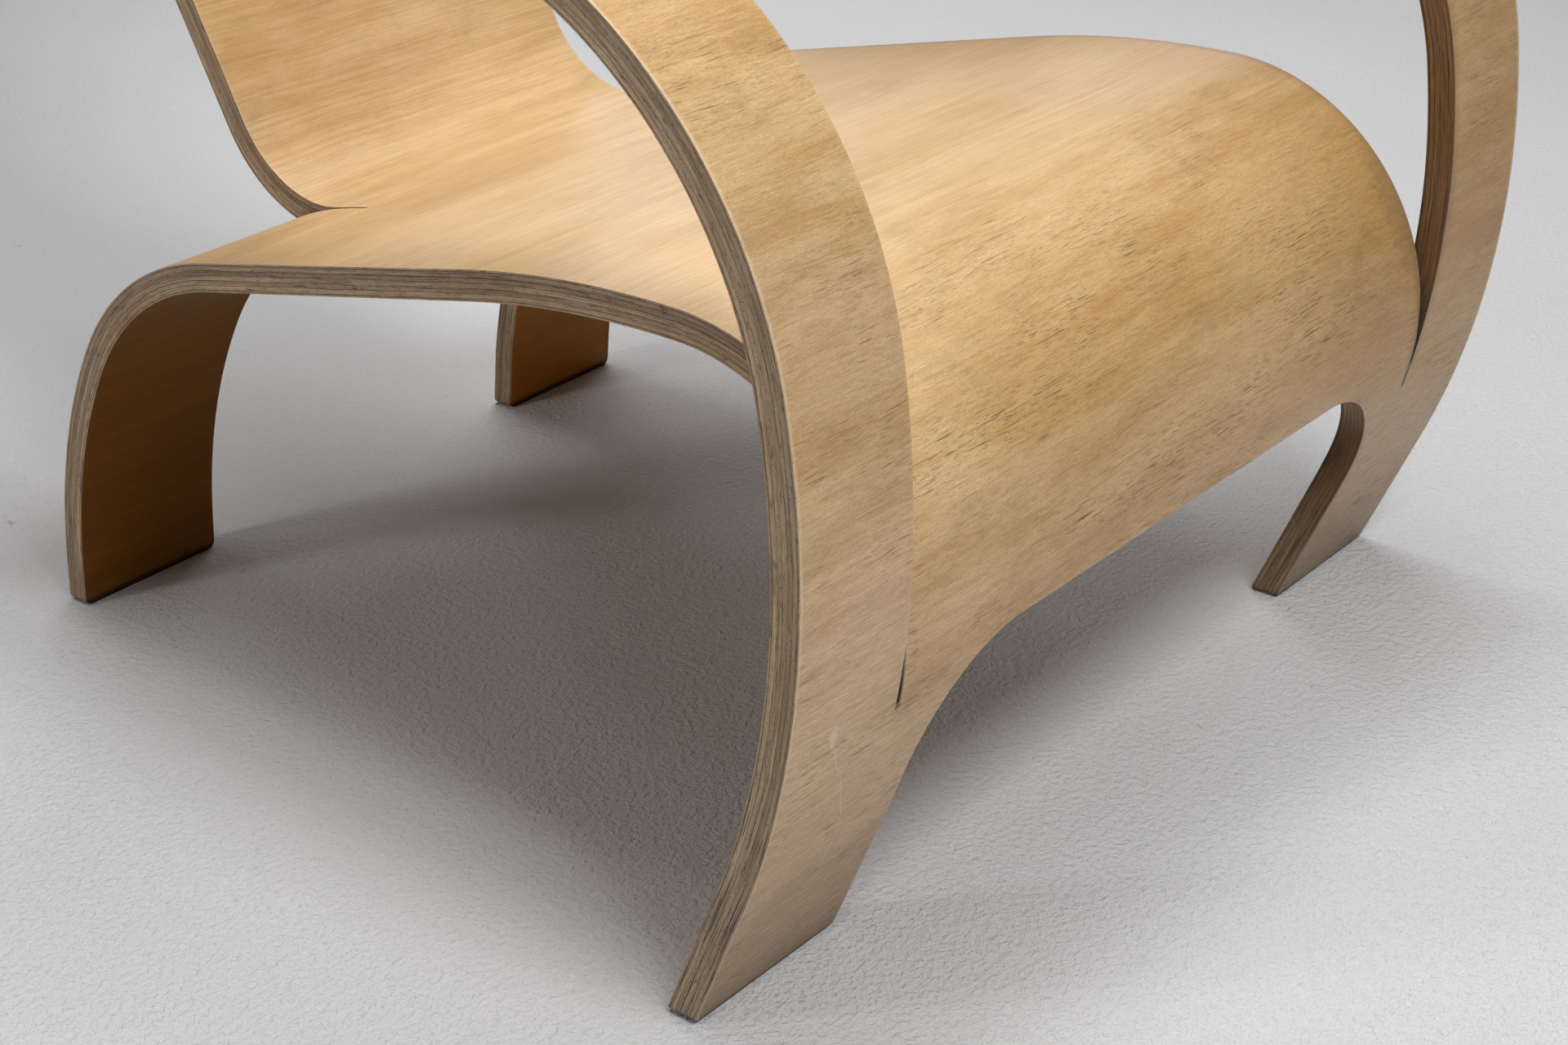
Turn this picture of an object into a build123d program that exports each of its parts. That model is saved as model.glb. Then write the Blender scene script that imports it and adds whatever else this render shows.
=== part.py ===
"""Armchair cut and bent from one sheet of plywood, modelled ply by ply.

The chair faces -Y and stands on Z = 0. The sheet only ever bends about lines that run across
the chair (X), so each strip of it is a side profile in the YZ plane swept along X. A profile is
walked along the sheet's upper face: the front of the legs, the top of the seat and arms, the
front of the back, the rear of the rear legs. The plies lie below that face, one on the other.
"""
import os
from math import acos, cos, degrees, radians, sin

from build123d import *

# Overall size, in millimetres
overall_width = 605.0
overall_height = 755.0

# The sheet: two thin face veneers around five inner plies
face_veneer = 1.3
inner_ply = 2.6
inner_ply_count = 5

# Front legs, walked up from the floor
front_leg_rake = 24.0
front_leg_straight = 84.0
front_leg_radius = 458.0
front_foot_corner = 6.0

# Arms, which carry on from the front legs
arm_bend_start = 82.6
arm_bend_radius = 206.4
arm_pitch = 3.0
arm_straight = 400.0
arm_end_corner = 30.0

# Slits between the arms and the seat, which open out from their ends
arm_slit = 2.0
arm_slit_end = 167.0
arm_slit_flare = 2.5
arm_slit_flare_rise = 105.0

# Arched cut-out between the front legs
arch_width = 406.0
arch_height = 161.0
arch_corner = 66.0

# Seat
seat_width = 452.0
seat_roll_radius = 125.3
seat_crest_pitch = 1.0
seat_crest_radius = 615.0
seat_pitch = 11.7
seat_straight = 189.5

# Back
back_width = 246.0
back_slit = 2.0
back_slit_flare = 4.0
back_slit_flare_run = 90.0
back_lead = 28.5
back_bend_radius = 65.0
back_recline = 25.5
back_straight = 170.0
back_sweep_radius = 945.0
back_top_corner = 52.0

# Rear legs
rear_leg_lead = 17.0
rear_bend_radius = 188.0
rear_bend_end = 56.2
rear_leg_radius = 364.0
rear_leg_rake = 8.6
rear_foot_corner = 5.0

# Values that follow from the ones above
sheet = 2 * face_veneer + inner_ply_count * inner_ply
half_width = overall_width / 2
half_seat = seat_width / 2
half_back = back_width / 2
arm_root_inner = half_seat + arm_slit
arm_inner = arm_root_inner + arm_slit_flare
rear_root_inner = half_back + back_slit
rear_leg_inner = rear_root_inner + back_slit_flare
half_arch = arch_width / 2
foot_run = 40.0
spare = 60.0


def shifted(station, depth):
    """The point that lies depth below the upper face at a station of a profile."""
    y, z, heading = station
    return (y + depth * sin(heading), z - depth * cos(heading))


def step(station, length, radius):
    """The station after a straight (radius 0) or an arc; a plus radius bends to the underside."""
    y, z, heading = station
    if radius == 0:
        return (y + length * cos(heading), z + length * sin(heading), heading)
    turned = heading - length / radius
    centre_y, centre_z = shifted(station, radius)
    return (centre_y - radius * sin(turned), centre_z + radius * cos(turned), turned)


def arc_to(station, radius, heading_deg):
    """The step, as (length, radius), that turns a station to a heading."""
    return ((station[2] - radians(heading_deg)) * radius, radius)


def walk(start, steps):
    """The station at the end of a run of steps."""
    station = start
    for length, radius in steps:
        station = step(station, length, radius)
    return station


def run_line(start, steps, depth):
    """Draws a profile at one depth below the upper face."""
    station = start
    for length, radius in steps:
        after = step(station, length, radius)
        if radius == 0:
            Line(shifted(station, depth), shifted(after, depth))
        else:
            middle = step(station, length / 2, radius)
            ThreePointArc(shifted(station, depth), shifted(middle, depth), shifted(after, depth))
        station = after


# Stations along the upper face, first with the front feet at Y = 0
front_foot = (0.0, 0.0, radians(90 + front_leg_rake))


def lay_out(foot):
    """Every strip of the sheet as (start station, steps), and its end station."""
    leg_low = step(foot, -foot_run, 0)
    leg_bent = step(foot, front_leg_straight, 0)
    leg_bend = arm_slit_end - front_leg_straight
    fork_steps = [(foot_run + front_leg_straight, 0), (leg_bend, front_leg_radius)]
    fork = walk(leg_low, fork_steps)
    arm_steps = [arc_to(fork, front_leg_radius, arm_bend_start)]
    arm_steps.append(arc_to(walk(fork, arm_steps), arm_bend_radius, arm_pitch))
    arm_steps.append((arm_straight, 0))
    seat_steps = [arc_to(fork, seat_roll_radius, seat_crest_pitch)]
    seat_steps.append(arc_to(walk(fork, seat_steps), seat_crest_radius, -seat_pitch))
    seat_steps.append((seat_straight, 0))
    rear_fork = walk(fork, seat_steps)
    back_steps = [(back_lead, 0)]
    back_steps.append(arc_to(walk(rear_fork, back_steps), -back_bend_radius, 90 - back_recline))
    back_steps.append((back_straight, 0))
    sweep = walk(rear_fork, back_steps)
    top_heading = acos(cos(sweep[2]) + (overall_height - sweep[1]) / back_sweep_radius)
    back_steps.append(arc_to(sweep, back_sweep_radius, degrees(top_heading)))
    rear_steps = [(rear_leg_lead, 0)]
    rear_steps.append(arc_to(walk(rear_fork, rear_steps), rear_bend_radius, -rear_bend_end))
    rear_steps.append(arc_to(walk(rear_fork, rear_steps), rear_leg_radius, rear_leg_rake - 90))
    ankle = walk(rear_fork, rear_steps)
    rear_steps.append((ankle[1] / cos(radians(rear_leg_rake)) + foot_run, 0))
    return {
        "leg": (leg_low, fork_steps, fork),
        "bulge": shifted(leg_bent, front_leg_radius)[0] - front_leg_radius,
        "arm": (fork, arm_steps, walk(fork, arm_steps)),
        "seat": (fork, seat_steps, rear_fork),
        "back": (rear_fork, back_steps, walk(rear_fork, back_steps)),
        "rear_leg": (rear_fork, rear_steps, walk(rear_fork, rear_steps)),
    }


# The middle of the chair's depth goes to Y = 0
first = lay_out(front_foot)
deepest = shifted(first["back"][2], sheet)[0]
front_foot = (-(first["bulge"] + deepest) / 2, 0.0, front_foot[2])
chair = lay_out(front_foot)
fork = chair["leg"][2]
rear_fork = chair["seat"][2]
arm_end = chair["arm"][2]
back_top = chair["back"][2]
rear_foot = step(chair["rear_leg"][2], -foot_run, 0)

# Strips of the sheet: profile, lowest X, highest X
strips = [
    ("leg", -half_width, half_width),
    ("arm", -half_width, -arm_root_inner),
    ("arm", arm_root_inner, half_width),
    ("seat", -half_seat, half_seat),
    ("back", -half_back, half_back),
    ("rear_leg", -half_seat, -rear_root_inner),
    ("rear_leg", rear_root_inner, half_seat),
]

# Rounded corners of the strips' ends: X, station, X direction and YZ direction into the sheet, radius
upright = (0.0, 1.0)
down_arm = (-cos(arm_end[2]), -sin(arm_end[2]))
down_back = (-cos(back_top[2]), -sin(back_top[2]))
corners = []
for side in (-1, 1):
    corners.append((side * half_width, front_foot, -side, upright, front_foot_corner))
    corners.append((side * half_arch, front_foot, side, upright, front_foot_corner))
    corners.append((side * half_width, arm_end, -side, down_arm, arm_end_corner))
    corners.append((side * arm_inner, arm_end, side, down_arm, arm_end_corner))
    corners.append((side * half_back, back_top, -side, down_back, back_top_corner))
    corners.append((side * half_seat, rear_foot, -side, upright, rear_foot_corner))
    corners.append((side * rear_leg_inner, rear_foot, side, upright, rear_foot_corner))


def across_sheet(x, station):
    """A plane that lies in the sheet at a station, facing out of its upper face."""
    y, z, heading = station
    return Plane(origin=(x, y, z), x_dir=(1, 0, 0), z_dir=(0, -sin(heading), cos(heading)))


def make_ply(label, upper, lower):
    """One ply, between two depths below the upper face, cut to the chair's outline."""
    with BuildPart() as ply:
        for strip, low, high in strips:
            start, steps, end = chair[strip]
            with BuildSketch(Plane.YZ.offset(low)):
                with BuildLine():
                    run_line(start, steps, upper)
                    Line(shifted(end, upper), shifted(end, lower))
                    run_line(start, steps, lower)
                    Line(shifted(start, lower), shifted(start, upper))
                make_face()
            extrude(amount=high - low)

        # The arch between the front legs
        with BuildSketch(Plane.XZ.offset(-front_foot[0])):
            with BuildLine():
                Line((-half_arch, -spare), (half_arch, -spare))
                Line((half_arch, -spare), (half_arch, arch_height - arch_corner))
                RadiusArc((half_arch, arch_height - arch_corner),
                          (half_arch - arch_corner, arch_height), -arch_corner)
                Line((half_arch - arch_corner, arch_height), (arch_corner - half_arch, arch_height))
                RadiusArc((arch_corner - half_arch, arch_height),
                          (-half_arch, arch_height - arch_corner), -arch_corner)
                Line((-half_arch, arch_height - arch_corner), (-half_arch, -spare))
            make_face()
        extrude(amount=2 * spare, both=True, mode=Mode.SUBTRACT)

        # Round ends of the slits
        for side in (-1, 1):
            with BuildSketch(across_sheet(side * (half_seat + arm_slit / 2), fork)):
                Circle(arm_slit / 2)
            extrude(amount=spare, both=True, mode=Mode.SUBTRACT)
            with BuildSketch(across_sheet(side * (half_back + back_slit / 2), rear_fork)):
                Circle(back_slit / 2)
            extrude(amount=spare, both=True, mode=Mode.SUBTRACT)

        # The arms and the rear legs stand back from the slits' ends
        for side in (-1, 1):
            with BuildSketch(Plane.XZ):
                with BuildLine():
                    Polyline((side * arm_root_inner, fork[1]),
                             (side * arm_inner, fork[1] + arm_slit_flare_rise),
                             (side * arm_inner, overall_height),
                             (side * (half_seat + arm_slit / 2), overall_height),
                             (side * (half_seat + arm_slit / 2), fork[1]), close=True)
                make_face()
            extrude(amount=overall_height, both=True, mode=Mode.SUBTRACT)
            with BuildSketch(Plane.XY):
                with BuildLine():
                    Polyline((side * rear_root_inner, rear_fork[0]),
                             (side * rear_leg_inner, rear_fork[0] + back_slit_flare_run),
                             (side * rear_leg_inner, overall_height),
                             (side * (half_back + back_slit / 2), overall_height),
                             (side * (half_back + back_slit / 2), rear_fork[0]), close=True)
                make_face()
            extrude(amount=overall_height, both=True, mode=Mode.SUBTRACT)

        # Rounded corners
        for x, station, inward, along, radius in corners:
            y, z, heading = station
            facing = (0, -inward * along[1], inward * along[0])
            inset = radius * (1 - sin(radians(45)))
            with BuildSketch(Plane(origin=(x, y, z), x_dir=(inward, 0, 0), z_dir=facing)):
                with BuildLine():
                    Line((0, 0), (radius, 0))
                    ThreePointArc((radius, 0), (inset, inset), (0, radius))
                    Line((0, radius), (0, 0))
                make_face()
            extrude(amount=spare, both=True, mode=Mode.SUBTRACT)

        # Legs end flush with the floor
        with BuildSketch(Plane.XY):
            Rectangle(2 * overall_width, 4 * overall_height)
        extrude(amount=-spare, mode=Mode.SUBTRACT)
    ply.part.label = label
    return ply.part


os.makedirs("parts", exist_ok=True)
plies = [
    ("upper_face_veneer", face_veneer),
    ("upper_crossband", inner_ply),
    ("upper_inner_ply", inner_ply),
    ("centre_ply", inner_ply),
    ("lower_inner_ply", inner_ply),
    ("lower_crossband", inner_ply),
    ("under_face_veneer", face_veneer),
]
depth = 0.0
for name, thickness in plies:
    solid = make_ply(name, depth, depth + thickness)
    export_step(solid, f"parts/{name}.step")
    depth = depth + thickness
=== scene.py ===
"""Looks of an armchair that is cut and bent from one sheet of plywood.

The flat outline of the sheet is laid out as a mesh, and a Geometry Nodes tree bends it along the
chair's side lines, once for each ply. Every point keeps its place on the flat sheet in the
attribute "sheet" (across, along, depth), which the wood's grain, edges and wear follow.
"""
import math

import bmesh
import bpy
import numpy as np
from bpy.props import FloatProperty, FloatVectorProperty, PointerProperty
from mathutils import Matrix, Vector
from mathutils.kdtree import KDTree


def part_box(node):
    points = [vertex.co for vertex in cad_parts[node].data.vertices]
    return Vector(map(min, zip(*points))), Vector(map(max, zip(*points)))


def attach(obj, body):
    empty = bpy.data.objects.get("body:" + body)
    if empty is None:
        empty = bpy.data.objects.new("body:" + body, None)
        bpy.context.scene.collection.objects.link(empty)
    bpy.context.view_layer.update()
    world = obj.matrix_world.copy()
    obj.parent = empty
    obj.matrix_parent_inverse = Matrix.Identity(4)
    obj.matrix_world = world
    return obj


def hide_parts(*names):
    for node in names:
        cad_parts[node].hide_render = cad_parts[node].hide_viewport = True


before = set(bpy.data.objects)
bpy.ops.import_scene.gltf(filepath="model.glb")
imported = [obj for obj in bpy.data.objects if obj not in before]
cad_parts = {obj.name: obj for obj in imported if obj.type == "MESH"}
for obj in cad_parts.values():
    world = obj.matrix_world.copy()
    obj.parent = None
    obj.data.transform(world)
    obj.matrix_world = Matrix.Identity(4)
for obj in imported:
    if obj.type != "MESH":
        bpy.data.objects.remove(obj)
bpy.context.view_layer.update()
VENEER_LOW, VENEER_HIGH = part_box("upper_face_veneer")

bl_info = {
    "name": "Bent plywood armchair",
    "version": (1, 0, 0),
    "blender": (4, 5, 0),
    "location": "View3D > Sidebar > Armchair",
    "description": "Dresses the plies of an armchair bent from one sheet of plywood",
    "category": "Object",
}

# Runs along the sheet, in metres
FOOT_RUN = 0.04  # past the floor at each foot
ROW_SPACING = 0.004  # between rows of points
CORNER_SPACING = 0.0022  # between rows round a corner
ARCH_RIM = 0.0012  # from the top of the arch to the next row
LINE_SPACING = 0.0015  # between points of a side line
FOOT_LEVEL, FOOT_EASE = 0.008, 0.05  # of a foot, cut level with the floor and easing off from that
CLOSE = 1e-5  # counts as the same place

ARCH_ROWS = 18
FEWEST_FACES = 1000
SHARP_ANGLE = 50

# Values of the attribute "strip", in the order of the side lines
SEAT_AND_BACK, ARM, REAR_LEG = 0, 1, 2

# From the upper face down, the inner plies and how light their cut edges are
INNER_PLIES = {"upper_crossband": 0.82, "upper_inner_ply": 0.62, "centre_ply": 0.98, "lower_inner_ply": 0.86,
               "lower_crossband": 1.14}

# The camera: lens in millimetres, shift in widths of the picture, angles in degrees, place in metres
CAMERA_LENS = 59.2223
CAMERA_SHIFT = (0.00678, 0.03297)
CAMERA_TURN, CAMERA_DIP, CAMERA_ROLL = 48.3691, 27.8552, 2.3838
CAMERA_PLACE = (-0.974091, -1.021457, 0.725179)

BACKDROP = (0.56, 0.56, 0.565)
FLOOR_REACH = 30
LAMP_AIM = (0.0, 0.0, 0.2)
MILLIMETRES = 1000.0


def length(name, default, description):
    """A size in metres."""
    return FloatProperty(name=name, description=description, default=default, min=0.0, precision=4,
                         unit="LENGTH")


def angle(name, default_degrees, description):
    """An angle, given in degrees."""
    return FloatProperty(name=name, description=description, default=math.radians(default_degrees),
                         unit="ROTATION")


def share(name, default, description):
    """A number from 0 to 1."""
    return FloatProperty(name=name, description=description, default=default, min=0.0, max=1.0,
                         subtype="FACTOR")


def colour(name, default, description):
    """A colour, in linear values."""
    return FloatVectorProperty(name=name, description=description, default=default, size=3, min=0.0, max=1.0,
                               subtype="COLOR")


class ArmchairSheetSizes(bpy.types.PropertyGroup):
    """Sizes of the sheet, its cuts and its bends."""

    overall_width: length("Overall width", VENEER_HIGH.x - VENEER_LOW.x, "Width over the arms")
    overall_height: length("Overall height", VENEER_HIGH.z, "Height of the top of the back")
    face_veneer: length("Face veneer", 0.0013, "Thickness of each outer ply")
    inner_ply: length("Inner ply", 0.0026, "Thickness of each of the five inner plies")
    arris: length("Worn edge", 0.0008, "Rounding of the sheet's edges by wear")
    edge_relief: length("Edge relief", 0.0001, "How far the cut edge of a ply stands in or out")
    front_leg_rake: angle("Front leg rake", 24.0, "Lean of the front feet")
    front_leg_straight: length("Front leg straight", 0.084, "Straight run above the front feet")
    front_leg_radius: length("Front leg bend", 0.458, "Bend of the front legs")
    front_foot_corner: length("Front foot corner", 0.006, "Rounded corners of the front feet")
    arm_bend_start: angle("Arm bend start", 82.6, "Heading at which the arms' tighter bend starts")
    arm_bend_radius: length("Arm bend", 0.2064, "Bend of the arms")
    arm_pitch: angle("Arm pitch", 3.0, "Rise of the arms towards the rear")
    arm_straight: length("Arm straight", 0.4, "Straight run of the arms")
    arm_end_corner: length("Arm end corner", 0.03, "Rounded corners of the arms' ends")
    arm_slit: length("Arm slit", 0.002, "Slit between arm and seat")
    arm_slit_end: length("Arm slit end", 0.167, "Run from the floor to the end of the slit")
    arm_slit_flare: length("Arm slit flare", 0.0025, "How much the slit opens out")
    arm_slit_flare_rise: length("Arm slit flare rise", 0.105, "Height over which the slit opens out")
    arch_width: length("Arch width", 0.406, "Gap between the front feet")
    arch_height: length("Arch height", 0.161, "Height of the arch between the front legs")
    arch_corner: length("Arch corner", 0.066, "Rounded corners of the arch")
    seat_width: length("Seat width", 0.452, "Width of the seat")
    seat_roll_radius: length("Seat roll", 0.1253, "Bend of the seat's front")
    seat_crest_pitch: angle("Seat crest pitch", 1.0, "Heading at which the crest starts")
    seat_crest_radius: length("Seat crest", 0.615, "Bend of the seat's crest")
    seat_pitch: angle("Seat pitch", 11.7, "Fall of the seat towards the rear")
    seat_straight: length("Seat straight", 0.1895, "Straight run of the seat")
    back_width: length("Back width", 0.246, "Width of the back")
    back_slit: length("Back slit", 0.002, "Slit between back and rear leg")
    back_slit_flare: length("Back slit flare", 0.004, "How much the slit opens out")
    back_slit_flare_run: length("Back slit flare run", 0.09, "Run over which the slit opens out")
    back_lead: length("Back lead", 0.0285, "Straight run before the back's bend")
    back_bend_radius: length("Back bend", 0.065, "Bend from seat to back")
    back_recline: angle("Back recline", 25.5, "Lean of the back")
    back_straight: length("Back straight", 0.17, "Straight run of the back")
    back_sweep_radius: length("Back sweep", 0.945, "Bend of the top of the back")
    back_top_corner: length("Back top corner", 0.052, "Rounded corners of the back")
    rear_leg_lead: length("Rear leg lead", 0.017, "Straight run before the rear legs' bend")
    rear_bend_radius: length("Rear bend", 0.188, "Bend from seat to rear legs")
    rear_bend_end: angle("Rear bend end", 56.2, "Heading at which the tighter bend ends")
    rear_leg_radius: length("Rear leg bend", 0.364, "Bend of the rear legs")
    rear_leg_rake: angle("Rear leg rake", 8.6, "Lean of the rear feet")
    rear_foot_corner: length("Rear foot corner", 0.005, "Rounded corners of the rear feet")


class ArmchairFinish(bpy.types.PropertyGroup):
    """Colours and wear of the wood, some of them painted shade and sheen, and the stage."""

    gold: colour("Golden veneer", (0.652, 0.443, 0.228), "Veneer where the varnish is whole")
    # amber also carries the painted shade on the chair's right side
    amber: colour("Amber streaks", (0.447, 0.25, 0.08), "Streaks and patches of darker varnish")
    # pale is rubbed veneer, and also the painted sheen on the seat's rear left corner and far crest
    pale: colour("Rubbed veneer", (0.685, 0.485, 0.325), "Veneer where the varnish is rubbed thin")
    grime: colour("Grime", (0.24, 0.155, 0.082), "Handled and soiled patches")
    bare: colour("Scuffs", (0.72, 0.62, 0.46), "Scuffs down to bare wood")
    pore: colour("Pores", (0.115, 0.058, 0.024), "Dirt in the pores of the veneer")
    arris_wood: colour("Worn edge wood", (0.76, 0.60, 0.39), "Bare wood along the worn edges")
    edge_light: colour("Light edge layers", (0.64, 0.46, 0.275), "Long grain in the cut edges")
    edge_dark: colour("Dark edge layers", (0.25, 0.163, 0.098), "End grain in the cut edges")
    edge_red: colour("Edge stain", (0.30, 0.175, 0.098), "Reddish stains in the cut edges")
    edge_grey: colour("Edge dust", (0.52, 0.405, 0.27), "Greyed wood in the cut edges")
    # glue also colours the painted shade in the slits and the painted contact shadow at the feet
    glue: colour("Glue lines", (0.06, 0.037, 0.024), "Lines between the plies")
    # These two colours darken the cut edges on the chair's right side, layer by layer.
    right_edge_dark_layers: colour("Oiled edge, dark", (0.045, 0.02, 0.006), "Dark layers where oil has soaked in")
    right_edge_light_layers: colour("Oiled edge, light", (0.25, 0.12, 0.034), "Light layers where oil has soaked in")
    # The underside colour darkens the under face, partly its own tone and partly painted shade; the two rear
    # leg colours are painted shade inside the legs, deeper in the left one.
    under_tone_and_shade: colour("Underside tint", (0.78, 0.69, 0.5), "Darkening of the under face")
    left_leg_shade: colour("Left rear leg tint", (0.37, 0.22, 0.03), "Old varnish inside the left leg")
    right_leg_shade: colour("Right rear leg tint", (0.74, 0.42, 0.055), "Old varnish inside the right leg")
    floor: colour("Floor", (0.655, 0.655, 0.664), "Paper floor")
    pore_amount: share("Pores", 0.85, "How dark the pores are")
    wear: share("Wear", 0.6, "How rubbed the wood is along its edges")


class Link:
    """A node's output, usable in plain arithmetic."""

    def __init__(self, graph, socket):
        self.graph = graph
        self.socket = socket

    def __add__(self, other):
        return self.graph.math("ADD", self, other)

    def __sub__(self, other):
        return self.graph.math("SUBTRACT", self, other)

    def __rsub__(self, other):
        return self.graph.math("SUBTRACT", other, self)

    def __mul__(self, other):
        return self.graph.math("MULTIPLY", self, other)

    def __truediv__(self, other):
        return self.graph.math("DIVIDE", self, other)

    def __abs__(self):
        return self.graph.math("ABSOLUTE", self)

    __radd__ = __add__
    __rmul__ = __mul__

    def output(self, name):
        """Another output of the same node."""
        return Link(self.graph, self.graph.pick(self.socket.node.outputs, name))


class Graph:
    """Adds nodes to a shader or geometry tree and joins them."""

    def __init__(self, tree):
        self.tree = tree
        tree.nodes.clear()

    def pick(self, sockets, name):
        """A socket by its place, its identifier or its name."""
        if isinstance(name, int):
            return sockets[name]
        for socket in sockets:
            if socket.identifier == name:
                return socket
        for socket in sockets:
            if socket.name == name and socket.enabled:
                return socket
        raise KeyError(f"no socket {name} among {[s.identifier for s in sockets]}")

    def feed(self, socket, value):
        """Gives a socket a value, a link or several links."""
        if isinstance(value, Link):
            self.tree.links.new(value.socket, socket)
        elif isinstance(value, list) and isinstance(value[0], Link):
            for link in value:
                self.tree.links.new(link.socket, socket)
        elif socket.type == "RGBA":
            socket.default_value = (*value[:3], 1.0)
        else:
            socket.default_value = value

    def add(self, kind, settings=None, sockets=None, out=0):
        """A node of a type, with its settings, its sockets' values or links, and one of its outputs."""
        node = self.tree.nodes.new(kind)
        for name, value in (settings or {}).items():
            setattr(node, name, value)
        for name, value in (sockets or {}).items():
            self.feed(self.pick(node.inputs, name), value)
        return Link(self, self.pick(node.outputs, out)) if len(node.outputs) else None

    def math(self, operation, *values):
        return self.add("ShaderNodeMath", {"operation": operation}, dict(enumerate(values)))

    def vector(self, x, y, z):
        return self.add("ShaderNodeCombineXYZ", {}, {0: x, 1: y, 2: z})

    def vectors(self, operation, first, second):
        return self.add("ShaderNodeVectorMath", {"operation": operation}, {0: first, 1: second})

    def scaled(self, vector, size):
        return self.add("ShaderNodeVectorMath", {"operation": "SCALE"}, {0: vector, "Scale": size})

    def stored(self, attribute, kind="FLOAT"):
        """An attribute of the geometry."""
        return self.add("GeometryNodeInputNamedAttribute", {"data_type": kind}, {"Name": attribute})

    def compare(self, operation, first, second):
        """Whether two numbers are alike, to a tenth, or the first is less."""
        return self.add("FunctionNodeCompare", {"data_type": "FLOAT", "operation": operation},
                        {"A": first, "B": second, "Epsilon": 0.1})

    def split(self, vector):
        """The three parts of a vector."""
        parts = self.add("ShaderNodeSeparateXYZ", {}, {0: vector})
        return parts, parts.output("Y"), parts.output("Z")

    def noise(self, x, y, z, detail=2.0, roughness=0.5):
        """Noise from 0 to 1 at a place given in its own wavelengths."""
        return self.add("ShaderNodeTexNoise", {"noise_dimensions": "3D"}, {
            "Vector": self.vector(x, y, z), "Scale": 1.0, "Detail": detail, "Roughness": roughness})

    def ease(self, value, low, high):
        """0 below low, 1 above high, smooth between them."""
        return self.add("ShaderNodeMapRange", {"interpolation_type": "SMOOTHSTEP"},
                        {"Value": value, "From Min": low, "From Max": high})

    def band(self, value, low, full, fade, high):
        """0 below low and above high, 1 from full to fade."""
        return self.ease(value, low, full) * (1 - self.ease(value, fade, high))

    def blend(self, factor, first, second, mode="MIX"):
        """A mix of two colours."""
        return self.add("ShaderNodeMix", {"data_type": "RGBA", "blend_type": mode},
                        {"Factor_Float": factor, "A_Color": first, "B_Color": second}, out="Result_Color")


# The sheet's side lines. A station is (y, z, heading) on the sheet's upper face.


def shifted(station, depth):
    """The point that lies depth below the upper face at a station."""
    y, z, heading = station
    return (y + depth * math.sin(heading), z - depth * math.cos(heading))


def step(station, run, radius):
    """The station after a straight (radius 0) or an arc; a plus radius bends to the underside."""
    y, z, heading = station
    if radius == 0:
        return (y + run * math.cos(heading), z + run * math.sin(heading), heading)
    turned = heading - run / radius
    centre_y, centre_z = shifted(station, radius)
    return (centre_y - radius * math.sin(turned), centre_z + radius * math.cos(turned), turned)


def arc_to(station, radius, heading):
    """The step that turns a station to a heading."""
    return ((station[2] - heading) * radius, radius)


def walk(station, steps):
    """The station at the end of a run of steps."""
    for run, radius in steps:
        station = step(station, run, radius)
    return station


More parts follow.
